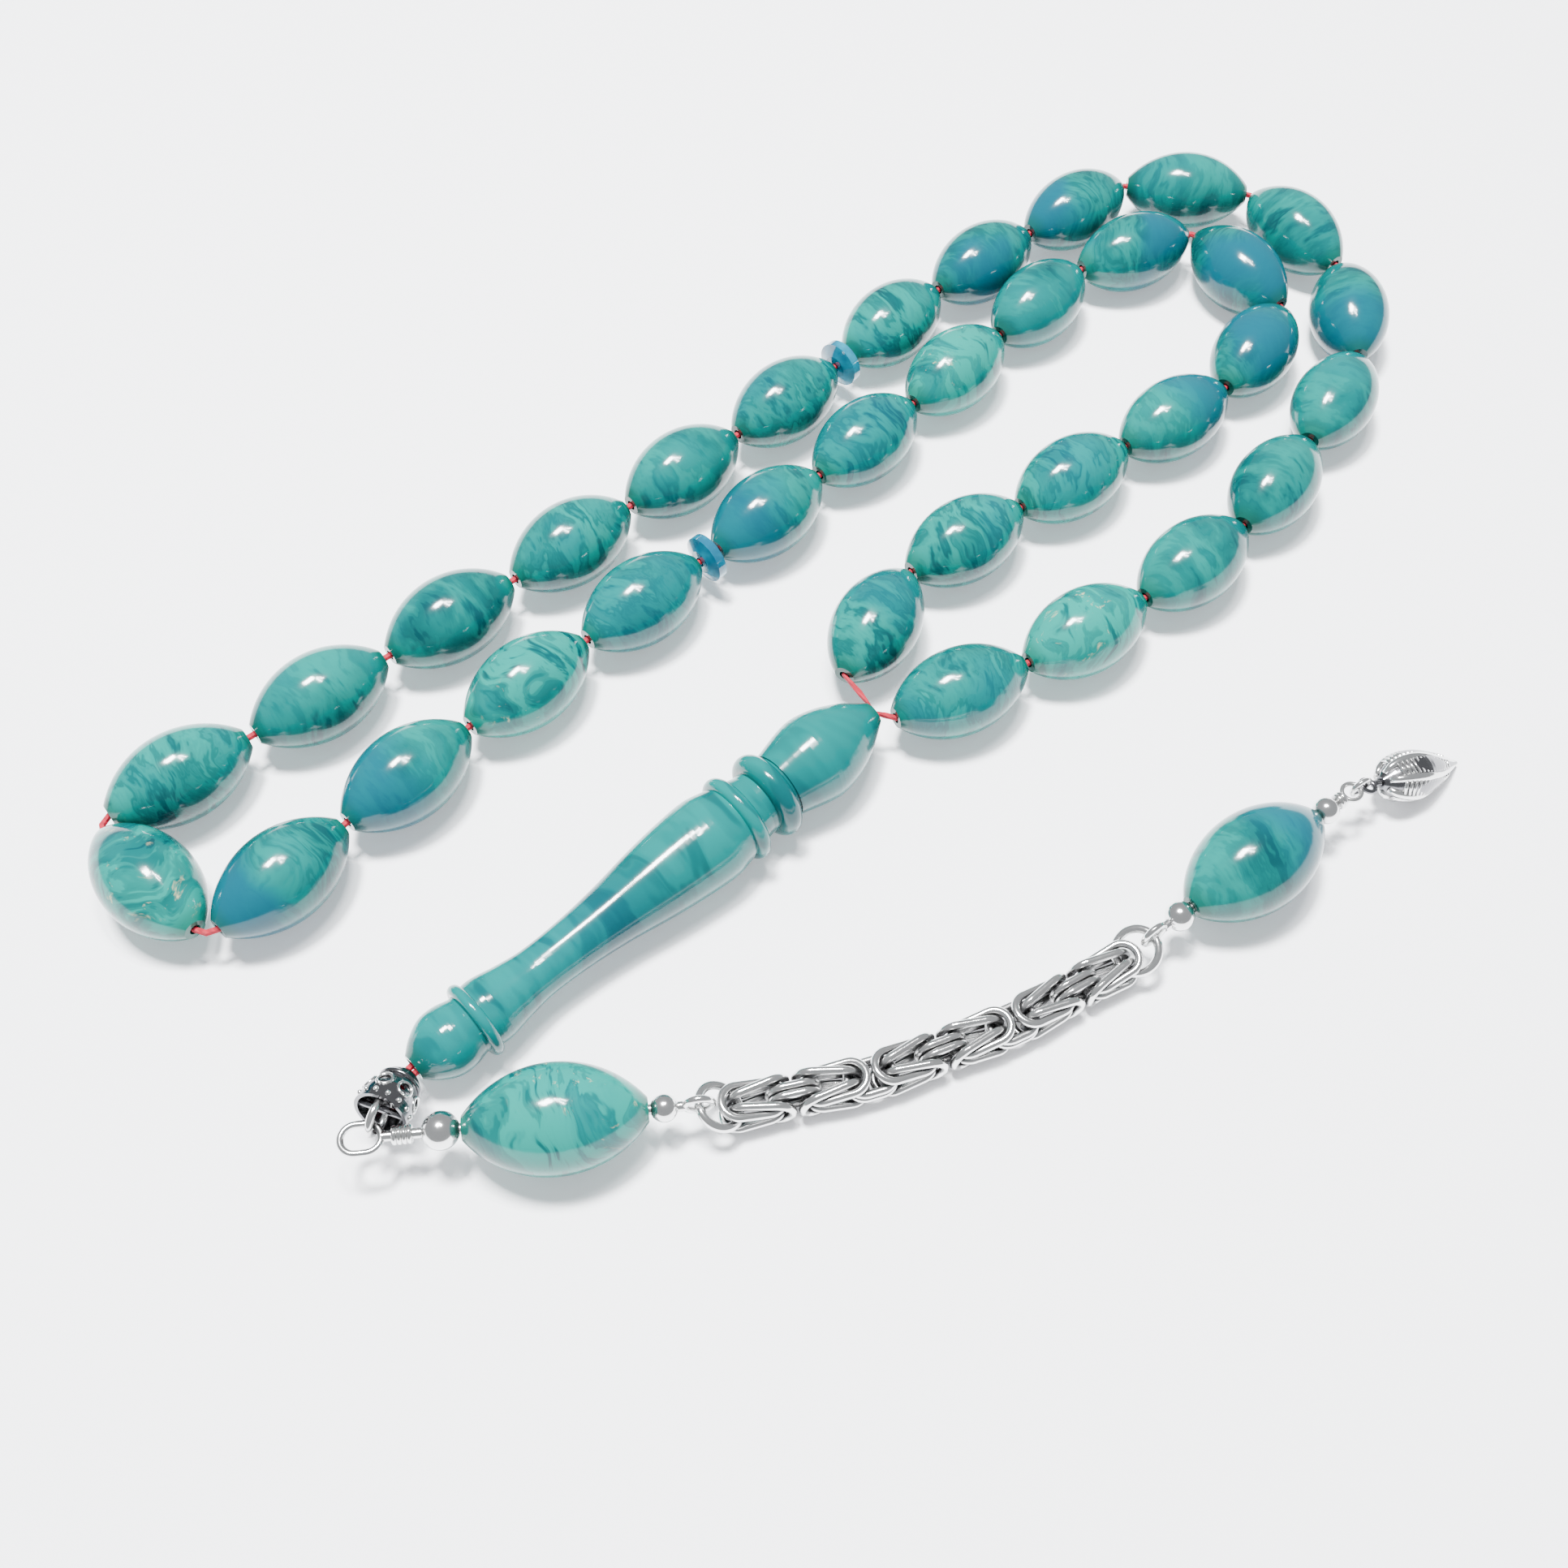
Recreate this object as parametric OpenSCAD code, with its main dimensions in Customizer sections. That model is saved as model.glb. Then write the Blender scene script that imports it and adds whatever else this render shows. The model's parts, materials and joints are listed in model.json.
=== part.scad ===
// Prayer beads: a loop of lemon-shaped beads on one cord, closed by a long turned
// leader bead that ends in a silver tassel. Everything lies on a table at z = 0.

/* [Strand beads] */
// Length of a strand bead along its bore
bead_len = 13.5; // [11:0.5:17]
// Greatest width of a strand bead
bead_d = 8.3; // [6.5:0.1:10.5]
// Width of the small flat at each end of a bead
tip_d = 2; // [1.6:0.1:2.6]
// Bore through the strand beads, the stops and the tassel beads
bore_d = 1; // [0.9:0.05:1.4]

/* [Stops] */
// Width of a stop's rim
stop_d = 4.8; // [4:0.1:6.5]
// Thickness of a stop at its hub
stop_hub = 1.8; // [1.2:0.1:2]
// Thickness of a stop at its rim
stop_rim = 0.9; // [0.5:0.1:1.2]

/* [Leader bead] */
// Length of the leader bead
leader_len = 51; // [45:1:62]
// Width over the leader's widest ring
leader_d = 8.4; // [7:0.1:10.1]
// Bore of the leader, which takes the cord twice
leader_bore_d = 1.8; // [1.6:0.1:2]

/* [Cord] */
// Thickness of the cord
cord_d = 0.6; // [0.5:0.05:0.7]
// Width of the knot inside the cap
knot_d = 1.8; // [1.7:0.05:2]

/* [Cap] */
// Length of the bell cap
cap_len = 4.2; // [3.6:0.1:5]
// Width of the bell cap at its mouth
cap_d = 4.6; // [4.4:0.1:5.4]
// Width of the ring that hangs in the cap, to the middle of its wire
cap_ring_d = 3; // [2.6:0.1:3.1]
// Thickness of the cap ring's wire
cap_ring_wire = 0.66; // [0.5:0.02:0.7]

/* [Tassel beads and pins] */
// Length of a tassel bead along its bore
tassel_bead_len = 14.6; // [12:0.1:17.6]
// Greatest width of a tassel bead
tassel_bead_d = 9; // [7.5:0.1:10.8]
// Thickness of the two pins
pin_d = 0.84; // [0.7:0.02:0.86]
// Thickness of the wire in the pins' eyes
eye_wire = 0.6; // [0.5:0.02:0.7]
// Widths of the four silver balls, from the cap to the finial
ball_d = [3.1, 2.3, 2.6, 2.4];

/* [Chain] */
// Thickness of the chain's wire
chain_wire = 0.7; // [0.6:0.02:0.72]
// Width of the two jump rings, to the middle of their wire
jump_d = 3.8; // [3.6:0.1:4.4]
// Thickness of the jump rings' wire
jump_wire = 0.76; // [0.6:0.02:0.8]

/* [Finial] */
// Length of the finial's bud
finial_len = 10.2; // [8.5:0.1:12.3]
// Greatest width of the finial's bud
finial_d = 4.6; // [3.8:0.1:5.6]

/* [Hidden] */
ROUND = 96;

// Clearance between linked wires, and between a piece and the pin that carries it
link_clear = 0.07;
pin_clear = 0.02;
seat_gap = 0.1;

// The loop is laid out for beads of this size, and grows with the larger of the two.
LAID_LEN = 13.5;
LAID_D = 8.3;
lay = max(bead_len / LAID_LEN, bead_d / LAID_D);

// Corners of the loop, where the strand turns, chosen by hand on the table top:
// x, y, beads up to the next corner, degrees the strand curves on the way, and the
// room left between the corner and the bead on either side.
CORNERS = [
    [3.5, -13, 1, 0, 0.2],
    [10, -0.5, 3, 0, 0.35],
    [44, 24.5, 1, 0, 0.35],
    [52.5, 36.5, 1, 0, 0.8],
    [44, 49.5, 1, 0, 0.9],
    [30.5, 43, 4, -4, 0.4],
    [-9.5, 1.5, 4, 8, 1.4],
    [-50.5, -40.5, 1, 0, 1.4],
    [-62.5, -29, 6, 8, 1.5],
    [4, 28.5, 3, -14, 1.5],
    [37, 57.5, 1, 0, 0.5],
    [51.5, 56, 1, 0, 0.55],
    [59.5, 43.5, 1, 0, 0.45],
    [59, 29, 2, -9, 0.4],
    [43, 5.5, 3, -20, 0.3],
    [8, -17.5, 0, 0, 0.1]
];
// Corners that hold a stop
STOP_CORNERS = [6, 9];

function gap_vector(k) = [
    CORNERS[k + 1][0] - CORNERS[k][0],
    CORNERS[k + 1][1] - CORNERS[k][1]
] * lay;
function leg_heading(k) = atan2(gap_vector(k)[1], gap_vector(k)[0]);

// A bead's place as x, y and heading: the beads of a leg share a gentle arc equally.
function bead_place(k, j) =
    let (
        chord = norm(gap_vector(k)),
        turn = CORNERS[k][3],
        beads = CORNERS[k][2],
        room_a = CORNERS[k][4] * lay,
        room_b = CORNERS[k + 1][4] * lay,
        arc = turn == 0 ? chord : chord * (turn * PI / 360) / sin(turn / 2),
        spare = arc - room_a - room_b - beads * bead_len,
        gap = beads > 1 ? spare / (beads - 1) : 0,
        start = beads > 1 ? room_a : room_a + spare / 2,
        t = (start + j * (bead_len + gap) + bead_len / 2) / arc,
        reach = turn == 0 ? chord * t : chord * sin(turn * t / 2) / sin(turn / 2),
        aim = leg_heading(k) - turn / 2 + turn * t / 2
    )
    [
        CORNERS[k][0] * lay + reach * cos(aim),
        CORNERS[k][1] * lay + reach * sin(aim),
        leg_heading(k) - turn / 2 + turn * t
    ];

BEADS = [
    for (k = [0 : len(CORNERS) - 2])
        for (j = [0 : CORNERS[k][2] - 1])
            bead_place(k, j)
];
bead_z = bead_d / 2;

// Unit vector along a heading that dips below the horizontal
function direction(heading, dip) =
    [cos(dip) * cos(heading), cos(dip) * sin(heading), -sin(dip)];
function sideways(heading) = [-sin(heading), cos(heading), 0];
function bead_tip(b, side) =
    [b[0], b[1], bead_z] + side * bead_len / 2 * direction(b[2], 0);
function stop_place(k) = [
    CORNERS[k][0] * lay,
    CORNERS[k][1] * lay,
    (leg_heading(k - 1) + CORNERS[k - 1][3] / 2 + leg_heading(k) - CORNERS[k][3] / 2) / 2
];

// The leader rests on its widest ring and on the small ring near its end.
LEADER_MOUTH = [6, -17.5];
leader_heading = 222;
WIDE_RING_AT = 16.4;
SMALL_RING_AT = 44.8;
LAID_LEADER = 51;
LAID_LEADER_D = 8.4;
stretch = leader_len / LAID_LEADER;
girth = leader_d / LAID_LEADER_D;
small_ring_r = 3.5 * girth;
leader_dip = asin((leader_d / 2 - small_ring_r) / ((SMALL_RING_AT - WIDE_RING_AT) * stretch));
leader_z = leader_d / 2 + WIDE_RING_AT * stretch * sin(leader_dip);
function leader_at(s) =
    [LEADER_MOUTH[0] * lay, LEADER_MOUTH[1] * lay, leader_z]
    + s * direction(leader_heading, leader_dip);

// Outlines of the leader's three smooth stretches: distance from the mouth and radius
EGG = [[0, 1.2], [2.5, 2.8], [5, 3.8], [7.5, 4.1], [11.4, 3.2]];
BODY = [[14.5, 3], [17.5, 3.7], [19.5, 4.05], [22.5, 3.9], [26, 3.5], [30.5, 2.8],
    [34.5, 2.4], [38.5, 2.3], [41, 2.6], [43.5, 3], [45.6, 2.7]];
TAIL = [[45.6, 2.7], [47, 3], [48.5, 2.9], [50, 2.1], [51, 1.2]];
CURVE_STEPS = 5;

function slope(p, i) =
    let (a = p[max(i - 1, 0)], b = p[min(i + 1, len(p) - 1)])
    (b[1] - a[1]) / (b[0] - a[0]);
// Points of a smooth curve through the stations, as radius and distance
function smooth(p) = concat(
    [
        for (i = [0 : len(p) - 2])
            for (j = [0 : CURVE_STEPS - 1])
                let (
                    t = j / CURVE_STEPS,
                    h = p[i + 1][0] - p[i][0],
                    r = (2 * t ^ 3 - 3 * t ^ 2 + 1) * p[i][1]
                        + (t ^ 3 - 2 * t ^ 2 + t) * h * slope(p, i)
                        + (3 * t ^ 2 - 2 * t ^ 3) * p[i + 1][1]
                        + (t ^ 3 - t ^ 2) * h * slope(p, i + 1)
                )
                [r, p[i][0] + t * h]
    ],
    [[p[len(p) - 1][1], p[len(p) - 1][0]]]
);

// Tassel: each piece is placed from the one before it.
cap_heading = 250;
cap_gap = 0.9;
pin_1_heading = 7;
pin_dip = 2;
cap_hole_d = 1.6;
cap_bar_d = 0.6;
cap_bar_x = cap_len - 0.5;
tassel_z = tassel_bead_d / 2;

eye_1_r = 1.2;
eye_1_s = 0.8;
eye_2_r = 1.1;
stem_1 = 3;
stem_2 = 0.2;
eye_1_reach = tassel_bead_len / 2 + seat_gap + ball_d[0] + stem_1 + eye_1_r + eye_1_s / 2;
eye_2_reach = tassel_bead_len / 2 + seat_gap + ball_d[1] + stem_2 + eye_wire / 2 + eye_2_r;

cap_at = leader_at(leader_len) + cap_gap * direction((leader_heading + cap_heading) / 2, -10);
ring_offset = (cap_ring_d - cap_ring_wire - cap_bar_d) / 2 - link_clear;
hook_offset = (cap_ring_d - cap_ring_wire - eye_wire) / 2 - link_clear;
hook_x = cap_bar_x + ring_offset + hook_offset;
cap_rise = asin((tassel_z + eye_1_reach * sin(pin_dip) - cap_at[2]) / hook_x);
cap_dir = direction(cap_heading, -cap_rise);
cap_ring_at = cap_at + (cap_bar_x + ring_offset) * cap_dir;
eye_1_at = cap_at + hook_x * cap_dir + eye_1_r * direction(cap_heading, 0)
    - eye_1_s / 2 * direction(pin_1_heading, 0);
tassel_1_at = eye_1_at + eye_1_reach * direction(pin_1_heading, pin_dip);
eye_2_at = tassel_1_at + eye_2_reach * direction(pin_1_heading, pin_dip);

// Chain weave. A link is a stadium ring: the radius of its ends and its straight sides.
link_r = 1.4;
link_s = 2.4;
tie_r = 1.25;
tie_s = 1.5;
// The ties between units are wider than those within one, so that the chain can bend.
wide_tie_r = 1.4;
wide_tie_s = 1.2;
half_step = 3.2;
fold = 0.23;
spread = 0.9;
splay = 11;
tie_spread = 0.38;
chain_z = link_r + chain_wire / 2 + 0.05;
UNIT_HEADINGS = [13, 22, 30];

// A jump ring lies tilted, from the inside of a pin's eye down to the chain's first pair.
eye_slack = 0.3;
// A jump ring's wire curves away, so it stands off the end of the pair by this much.
jump_slack = 0.3;
pair_end = half_step - fold + link_r + link_s / 2;
jump_x = pair_end - (chain_wire + jump_wire) / 2 - jump_slack;
jump_high = eye_2_at + [0, 0, -eye_slack];
jump_tilt = asin((jump_high[2] - chain_z) / jump_d);
jump_1_at = [jump_high[0], jump_high[1], (jump_high[2] + chain_z) / 2]
    + jump_d / 2 * cos(jump_tilt) * direction(UNIT_HEADINGS[0], 0);
jump_1_low = jump_1_at + jump_d / 2 * direction(UNIT_HEADINGS[0], jump_tilt);
unit_1_at = jump_1_low + jump_x * direction(UNIT_HEADINGS[0], 0);

function mid_heading(i) = (UNIT_HEADINGS[i] + UNIT_HEADINGS[i + 1]) / 2;
pair_1_at = unit_1_at + 2 * half_step * direction(UNIT_HEADINGS[0], 0);
unit_2_at = pair_1_at + 2 * half_step * direction(UNIT_HEADINGS[1], 0);
pair_2_at = unit_2_at + 2 * half_step * direction(UNIT_HEADINGS[1], 0);
unit_3_at = pair_2_at + 2 * half_step * direction(UNIT_HEADINGS[2], 0);
UNITS = [unit_1_at, unit_2_at, unit_3_at];
PAIRS = [pair_1_at, pair_2_at];

pin_2_heading = 36;
eye_3_r = 1.1;
eye_4_r = 0.85;
stem_3 = 0.2;
stem_4 = 0.9;
fine_wire = 0.44;
eye_3_reach = tassel_bead_len / 2 + seat_gap + ball_d[2] + stem_3 + eye_wire / 2 + eye_3_r;
eye_4_reach = tassel_bead_len / 2 + seat_gap + ball_d[3] + stem_4 + fine_wire / 2 + eye_4_r;
jump_2_heading = 33;
jump_2_low = unit_3_at + jump_x * direction(UNIT_HEADINGS[2], 0);
eye_3_z = tassel_z - eye_3_reach * sin(pin_dip);
jump_2_tilt = asin((eye_3_z - eye_slack - chain_z) / jump_d);
jump_2_at = jump_2_low + jump_d / 2 * direction(jump_2_heading, -jump_2_tilt);
jump_2_high = jump_2_low + jump_d * direction(jump_2_heading, -jump_2_tilt);
eye_3_at = jump_2_high + [0, 0, eye_slack];
tassel_2_at = eye_3_at + eye_3_reach * direction(pin_2_heading, -pin_dip);
eye_4_at = tassel_2_at + eye_4_reach * direction(pin_2_heading, -pin_dip);

small_ring_d = 1.9;
small_ring_dip = 40;
small_ring_heading = 30;
small_offset = (small_ring_d - 2 * fine_wire) / 2 - link_clear;
finial_heading = 26;
finial_dip = 18;
finial_eye_r = 0.7;
finial_neck = 0.9;
eye_4_far = eye_4_at + eye_4_r * direction(pin_2_heading, -pin_dip);
small_ring_at = eye_4_far + small_offset * direction(small_ring_heading, small_ring_dip);
finial_eye_near = small_ring_at + small_offset * direction(small_ring_heading, small_ring_dip);
finial_eye_at = finial_eye_near + finial_eye_r * direction(finial_heading, finial_dip);
BUD = [[0, 0.5], [1, 1.45], [2.8, 2.2], [4.8, 1.8], [6.6, 0.95], [8.2, 0.15]];
LAID_BUD = [8.2, 4.4];
RIBS = 6;
rib_groove = 0.3;

// The cord's route: from the knot up the leader, through every bead, and back down.
cord_side = cord_d / 2 + 0.05;
knot_x = 1.5;
cap_wall = 0.5;
// The cord runs straight a little way into and out of the leader's two mouths.
mouth_in = 1;
mouth_out = 0.4;
// Each ring of the cord is a point and the way the cord runs there. It runs straight
// through every bore, and a ring is added in a gap where it turns by more than this.
SHARP_TURN = 28;
leader_dir = direction(leader_heading, leader_dip);
function unit(v) = v / norm(v);
// way is -1 up the leader, from the knot to the mouth, and 1 back down
function leader_ring(s, way) =
    [leader_at(s) + way * cord_side * sideways(leader_heading), way * leader_dir];
function leader_run(way) = [
    [cap_at + knot_x * cap_dir + way * cord_side / 2 * sideways(leader_heading), way * cap_dir],
    [cap_at + cap_wall / 2 * cap_dir + way * cord_side * sideways(cap_heading), way * cap_dir],
    leader_ring(leader_len - mouth_in, way),
    leader_ring(mouth_in, way),
    leader_ring(-mouth_out, way)
];
function reversed(p) = [for (i = [len(p) - 1 : -1 : 0]) p[i]];
BORE_RINGS = concat(
    leader_run(-1),
    [for (b = BEADS) for (side = [-1, 1]) [bead_tip(b, side), direction(b[2], 0)]],
    reversed(leader_run(1))
);
function turn_after(a, b) = acos(min(1, unit(b[0] - a[0]) * a[1]));
function middle_ring(a, b) =
    let (reach = norm(b[0] - a[0]))
    [(a[0] + b[0]) / 2 + reach / 8 * (a[1] - b[1]),
        unit(1.5 * (b[0] - a[0]) - reach / 4 * (a[1] + b[1]))];
CORD_RINGS = [
    for (i = [0 : len(BORE_RINGS) - 1])
        let (
            a = BORE_RINGS[i],
            b = i < len(BORE_RINGS) - 1 ? BORE_RINGS[i + 1] : a,
            sharp = a != b && max(turn_after(a, b), turn_after([b[0], -b[1]], a)) > SHARP_TURN
        )
        each sharp ? [a, middle_ring(a, b)] : [a]
];
CORD_SIDES = 8;

function bead_name(i) = str("bead_", i < 9 ? "0" : "", i + 1);

// Places children with their X axis along a heading, dipped below the horizontal
module place(at, heading, dip = 0) {
    translate(at) rotate([0, dip, heading]) children();
}

// Turns an outline drawn as radius and distance about the X axis
module turned() {
    rotate([0, 90, 0]) rotate_extrude($fn = ROUND) children();
}

module rod(d, x_from, x_to) {
    translate([x_from, 0, 0]) rotate([0, 90, 0]) cylinder(d = d, h = x_to - x_from, $fn = ROUND);
}

module ring(r, wire) {
    rotate_extrude($fn = ROUND) translate([r, 0]) circle(d = wire, $fn = ROUND);
}

// A stadium ring in the XY plane, long along X
module link(r, s, wire) {
    for (side = [0, 180])
        rotate([0, 0, side]) {
            translate([s / 2, 0, 0])
                rotate([0, 0, -90])
                    rotate_extrude(angle = 180, $fn = ROUND)
                        translate([r, 0]) circle(d = wire, $fn = ROUND);
            translate([0, r, 0]) rod(wire, -s / 2, s / 2);
        }
}

module lemon(length, width, tip) {
    rise = (width - tip) / 2;
    arc_r = (length ^ 2 / 4 + rise ^ 2) / (2 * rise);
    turned() intersection() {
        translate([width / 2 - arc_r, 0]) circle(r = arc_r, $fn = ROUND);
        translate([bore_d / 2, -length / 2]) square([width, length]);
    }
}

module bead(i) {
    color("turquoise")
        place([BEADS[i][0], BEADS[i][1], bead_z], BEADS[i][2]) lemon(bead_len, bead_d, tip_d);
}

module stop(i) {
    p = stop_place(STOP_CORNERS[i]);
    hub_r = stop_d / 4;
    color("deepskyblue") place([p[0], p[1], bead_z], p[2]) turned() polygon([
        [bore_d / 2, -stop_hub / 2],
        [hub_r, -stop_hub / 2],
        [stop_d / 2, -stop_rim / 2],
        [stop_d / 2, stop_rim / 2],
        [hub_r, stop_hub / 2],
        [bore_d / 2, stop_hub / 2]
    ]);
}

// A smooth outline, filled in to its axis
module stretch_of(stations) {
    outline = smooth(stations);
    last = len(outline) - 1;
    polygon(concat([[0, outline[0][1]]], outline, [[0, outline[last][1]]]));
}

module bead_ring(at, r, thickness) {
    translate([r - thickness / 2, at]) circle(d = thickness, $fn = ROUND);
    translate([0, at - thickness / 2]) square([r - thickness / 2, thickness]);
}

function stretched(stations) = [for (p = stations) [p[0] * stretch, p[1] * girth]];

module imame() {
    collar_r = 4.15 * girth;
    collar_at = 12.8;
    collar_thick = 2.2;
    wide_ring_thick = 1.5;
    small_ring_thick = 1.1;
    // The neck under the collar reaches a little way into the stretch on either side.
    neck_r = 3 * girth;
    neck_into = 0.1;
    neck_from = EGG[len(EGG) - 1][0] * stretch - neck_into;
    neck_to = BODY[0][0] * stretch + neck_into;
    color("lightseagreen") place(leader_at(0), leader_heading, leader_dip) turned()
        difference() {
            union() {
                stretch_of(stretched(EGG));
                stretch_of(stretched(BODY));
                stretch_of(stretched(TAIL));
                translate([0, neck_from]) square([neck_r, neck_to - neck_from]);
                bead_ring(collar_at * stretch, collar_r, collar_thick);
                bead_ring(WIDE_RING_AT * stretch, leader_d / 2, wide_ring_thick);
                bead_ring(SMALL_RING_AT * stretch, small_ring_r, small_ring_thick);
            }
            translate([0, -1]) square([leader_bore_d / 2, leader_len + 2]);
        }
}

module cord() {
    rings = len(CORD_RINGS);
    points = [
        for (station = CORD_RINGS)
            let (
                across = unit(cross([0, 0, 1], station[1])),
                up = cross(station[1], across)
            )
            for (j = [0 : CORD_SIDES - 1])
                let (a = 360 * j / CORD_SIDES)
                station[0] + cord_d / 2 * (cos(a) * across + sin(a) * up)
    ];
    sides = [
        for (i = [0 : rings - 2])
            for (j = [0 : CORD_SIDES - 1])
                let (k = (j + 1) % CORD_SIDES, a = i * CORD_SIDES, b = a + CORD_SIDES)
                [a + j, b + j, b + k, a + k]
    ];
    near_end = [for (j = [0 : CORD_SIDES - 1]) j];
    far_end = [for (j = [CORD_SIDES - 1 : -1 : 0]) (rings - 1) * CORD_SIDES + j];
    color("crimson") polyhedron(points = points, faces = concat(sides, [near_end, far_end]));
}

module knot() {
    color("firebrick") translate(cap_at + knot_x * cap_dir) sphere(d = knot_d, $fn = ROUND);
}

module cap() {
    mouth_r = cap_d / 2;
    wall = 0.3;
    band_at = 1;
    band_r = 1.6;
    band_wire = 0.5;
    windows = 6;
    window_at = 2.3;
    window_d = 0.7;
    bar_half = mouth_r - 0.2;
    outside = [[0, 1], [0.5, 1.5], [1.6, 1.8], [2.6, 2.2], [cap_len, mouth_r]];
    color("silver") place(cap_at, cap_heading, -cap_rise) {
        difference() {
            union() {
                turned() stretch_of(outside);
                translate([band_at, 0, 0]) rotate([0, 90, 0]) ring(band_r, band_wire);
            }
            turned() polygon([
                [0, -1],
                [cap_hole_d / 2, -1],
                [cap_hole_d / 2, cap_wall],
                [1.2, 0.9],
                [1.45, 1.6],
                [1.8, 2.6],
                [mouth_r - wall, cap_len],
                [mouth_r - wall, cap_len + 1],
                [0, cap_len + 1]
            ]);
            for (i = [0 : windows - 1])
                rotate([360 / windows * (i + 0.5), 0, 0])
                    translate([window_at, 0, 0])
                        cylinder(d = window_d, h = mouth_r + 1, $fn = ROUND);
        }
        translate([cap_bar_x, 0, 0]) rotate([0, 0, 90]) rod(cap_bar_d, -bar_half, bar_half);
    }
}

module cap_ring() {
    color("silver") place(cap_ring_at, cap_heading, -cap_rise)
        rotate([90, 0, 0]) ring(cap_ring_d / 2, cap_ring_wire);
}

// Turns of wire wound round a pin, each sunk a little into the last and into the pin
module wraps(at, turns, wire) {
    pitch = wire * 0.9;
    wrap_r = pin_d / 2 + wire / 3;
    for (i = [0 : turns - 1])
        translate([at + i * pitch, 0, 0]) rotate([0, 90, 0]) ring(wrap_r, wire);
}

module pin_1() {
    wraps_from = 1;
    wraps_wire = 0.44;
    color("silver") place(tassel_1_at, pin_1_heading, pin_dip) {
        rod(pin_d, -eye_1_reach + eye_1_r + eye_1_s / 2, eye_2_reach - eye_2_r);
        translate([-eye_1_reach, 0, 0]) link(eye_1_r, eye_1_s, eye_wire);
        translate([eye_2_reach, 0, 0]) rotate([90, 0, 0]) ring(eye_2_r, eye_wire);
        wraps(-eye_1_reach + eye_1_r + eye_1_s / 2 + wraps_from, 4, wraps_wire);
    }
}

module pin_2() {
    wraps_from = 0.3;
    wraps_wire = 0.4;
    color("silver") place(tassel_2_at, pin_2_heading, -pin_dip) {
        rod(pin_d, -eye_3_reach + eye_3_r, eye_4_reach - eye_4_r);
        translate([-eye_3_reach, 0, 0]) rotate([90, 0, 0]) ring(eye_3_r, eye_wire);
        translate([eye_4_reach, 0, 0]) ring(eye_4_r, fine_wire);
        wraps(tassel_bead_len / 2 + seat_gap + ball_d[3] + wraps_from, 2, wraps_wire);
    }
}

// A silver ball bored for the pin that carries it
module ball(at, heading, dip, offset, d) {
    color("silver") place(at, heading, dip) translate([offset, 0, 0]) turned() intersection() {
        circle(d = d, $fn = ROUND);
        translate([pin_d / 2 + pin_clear, -d / 2]) square([d, d]);
    }
}

function ball_offset(d) = tassel_bead_len / 2 + seat_gap + d / 2;

module tassel_bead(at, heading, dip) {
    color("turquoise") place(at, heading, dip) lemon(tassel_bead_len, tassel_bead_d, tip_d);
}

// Two tie rings one above the other, flat or on edge
module tie_pair(edge, r, s) {
    for (side = [-1, 1])
        rotate([edge ? 90 : 0, 0, 0]) translate([0, 0, side * tie_spread])
            link(r, s, chain_wire);
}

// Half a woven unit: a pair of upright links, and a flat pair folded back around it
module weave_half() {
    for (side = [-1, 1]) {
        translate([half_step - fold, side * spread, 0])
            rotate([90, 0, 0]) rotate([0, -side * splay, 0]) link(link_r, link_s, chain_wire);
        translate([half_step + fold, 0, side * spread])
            rotate([0, -side * splay, 0]) link(link_r, link_s, chain_wire);
    }
}

module chain(i) {
    color("silver") place(UNITS[i], UNIT_HEADINGS[i]) {
        tie_pair(true, tie_r, tie_s);
        weave_half();
        mirror([1, 0, 0]) weave_half();
    }
}

module chain_pair(i) {
    color("silver") place(PAIRS[i], mid_heading(i))
        tie_pair(false, wide_tie_r, wide_tie_s);
}

module jump_ring(at, heading, tilt) {
    color("silver") place(at, heading, tilt) ring(jump_d / 2, jump_wire);
}

module jump_ring_3() {
    color("silver") place(small_ring_at, small_ring_heading, small_ring_dip)
        rotate([90, 0, 0]) ring(small_ring_d / 2, fine_wire);
}

module finial() {
    long = finial_len / LAID_BUD[0];
    wide = finial_d / LAID_BUD[1];
    outline = [for (p = BUD) [p[0] * long, p[1] * wide]];
    groove_r = finial_len;
    groove_at = finial_len * 0.4;
    neck_d = fine_wire * 1.6;
    neck_into = 0.5;
    color("silver") place(finial_eye_at, finial_heading, finial_dip) {
        ring(finial_eye_r, fine_wire);
        rod(neck_d, finial_eye_r, finial_eye_r + finial_neck + neck_into);
        translate([finial_eye_r + finial_neck, 0, 0]) difference() {
            turned() stretch_of(outline);
            for (i = [0 : RIBS - 1])
                rotate([360 / RIBS * i, 0, 0])
                    translate([groove_at, 0, finial_d / 2 - groove_r])
                        rotate([90, 0, 0]) ring(groove_r, rib_groove);
        }
    }
}

for (i = [0 : len(BEADS) - 1])
    bead(i);
stop(0);  // stop_1
stop(1);  // stop_2
imame();
cord();
knot();
cap();
cap_ring();
pin_1();
ball(tassel_1_at, pin_1_heading, pin_dip, -ball_offset(ball_d[0]), ball_d[0]);  // ball_1
tassel_bead(tassel_1_at, pin_1_heading, pin_dip);  // tassel_bead_1
ball(tassel_1_at, pin_1_heading, pin_dip, ball_offset(ball_d[1]), ball_d[1]);  // ball_2
jump_ring(jump_1_at, UNIT_HEADINGS[0], jump_tilt);  // jump_ring_1
chain(0);  // chain_1
chain_pair(0);  // chain_pair_1
chain(1);  // chain_2
chain_pair(1);  // chain_pair_2
chain(2);  // chain_3
jump_ring(jump_2_at, jump_2_heading, -jump_2_tilt);  // jump_ring_2
pin_2();
ball(tassel_2_at, pin_2_heading, -pin_dip, -ball_offset(ball_d[2]), ball_d[2]);  // ball_3
tassel_bead(tassel_2_at, pin_2_heading, -pin_dip);  // tassel_bead_2
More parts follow.
